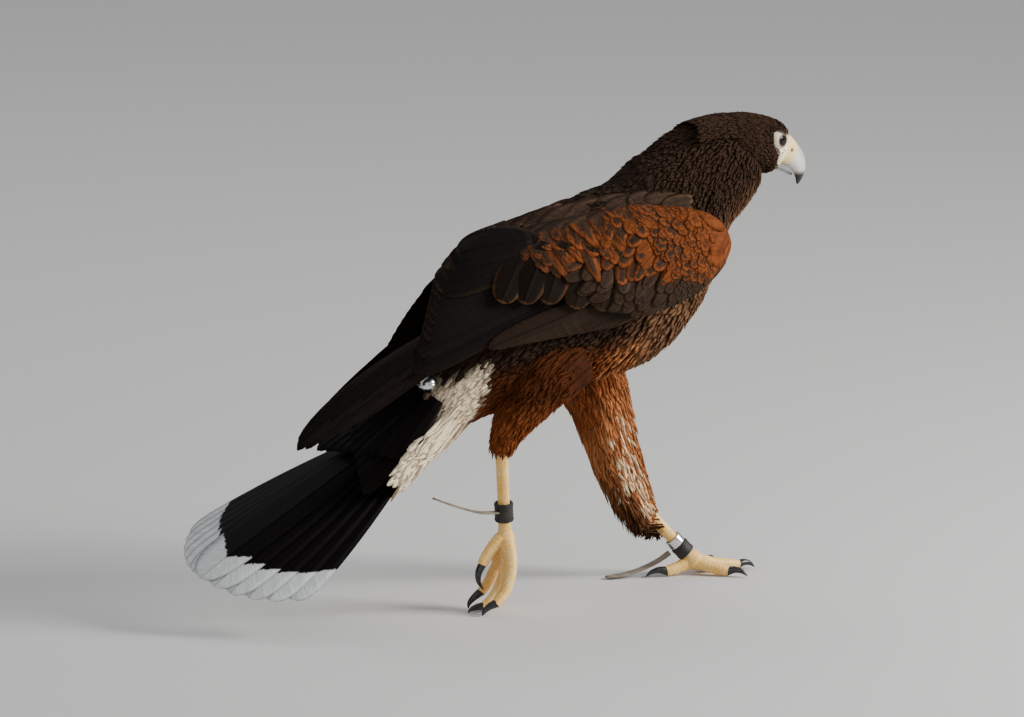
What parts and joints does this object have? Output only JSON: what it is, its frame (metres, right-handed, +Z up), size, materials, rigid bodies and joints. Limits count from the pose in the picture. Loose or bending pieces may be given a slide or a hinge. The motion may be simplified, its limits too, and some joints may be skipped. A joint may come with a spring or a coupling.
{
  "type": "harris hawk",
  "caption": "Life-size model of a female Harris's hawk striding forward with folded wings, half fanned tail, leather anklets and straps, a closed leg ring and a tail bell.",
  "frame": {"origin": "bottom centre of the bounding box, on the floor under the bird", "axes": "+X the way the bird walks, +Y its left, +Z up"},
  "size_m": [0.4969, 0.1498, 0.3409],
  "materials": {
    "brown_feather": "matte",
    "wing_feather": "matte",
    "rust_feather": "matte",
    "white_feather": "matte",
    "tail_feather": "satin",
    "leg_skin": "satin",
    "cere": "satin",
    "horn": "satin",
    "eye": "wet gloss",
    "leather": "satin",
    "strap": "matte",
    "metal": "polished"
  },
  "bodies": {
    "root": {"anklet_left": "leather", "anklet_right": "leather", "bell_mount": "leather", "bill_lower": "horn", "bill_upper": "horn", "cere": "cere", "eye_left": "eye", "eye_right": "eye", "foot_left": "leg_skin", "foot_right": "leg_skin", "head": "brown_feather", "jess_left": "strap", "jess_right": "strap", "leg_ring": "metal", "neck": "brown_feather", "tail": "tail_feather", "tail_bell": "metal", "tail_coverts": "white_feather", "tarsus_left": "leg_skin", "tarsus_right": "leg_skin", "thigh_left": "rust_feather", "thigh_right": "rust_feather", "torso": "brown_feather", "wing_left": "wing_feather", "wing_right": "wing_feather"}
  },
  "joints": []
}
